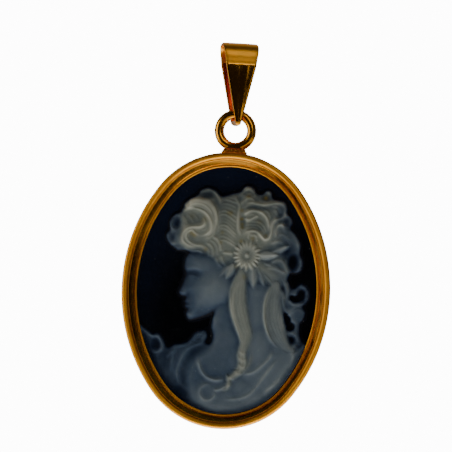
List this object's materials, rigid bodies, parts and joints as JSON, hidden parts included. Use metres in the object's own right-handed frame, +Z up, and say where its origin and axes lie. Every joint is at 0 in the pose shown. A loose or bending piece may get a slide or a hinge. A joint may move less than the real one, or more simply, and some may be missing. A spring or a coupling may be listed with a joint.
{
  "type": "cameo pendant",
  "caption": "Oval cameo pendant: a pale carved lady's head with a flower on a dark agate ground, in a gold frame that hangs by a soldered ring from a folded bail.",
  "frame": {"origin": "middle of the bail's eye, where the chain passes and the pendant hangs", "axes": "+Z up along the hanging pendant, the carved front faces -Y, +X to the viewer's right"},
  "size_m": [0.0206, 0.0036, 0.0378],
  "materials": {
    "gold": "polished 14-carat yellow gold with fine wear",
    "dark_agate": "polished near-black navy agate",
    "white_agate": "satin translucent white agate, blue where it is thin"
  },
  "bodies": {
    "bail": {"bail": "gold"},
    "pendant": {"frame": "gold", "cameo_ground": "dark_agate", "cameo_relief": "white_agate"}
  },
  "joints": [
    {"name": "pendant_swing", "type": "hinge", "parent": "bail", "child": "pendant", "pos_m": [0, 0, -0.00564], "axis": [0.9848, 0.1736, 0], "range_deg": [-90, 90]}
  ]
}
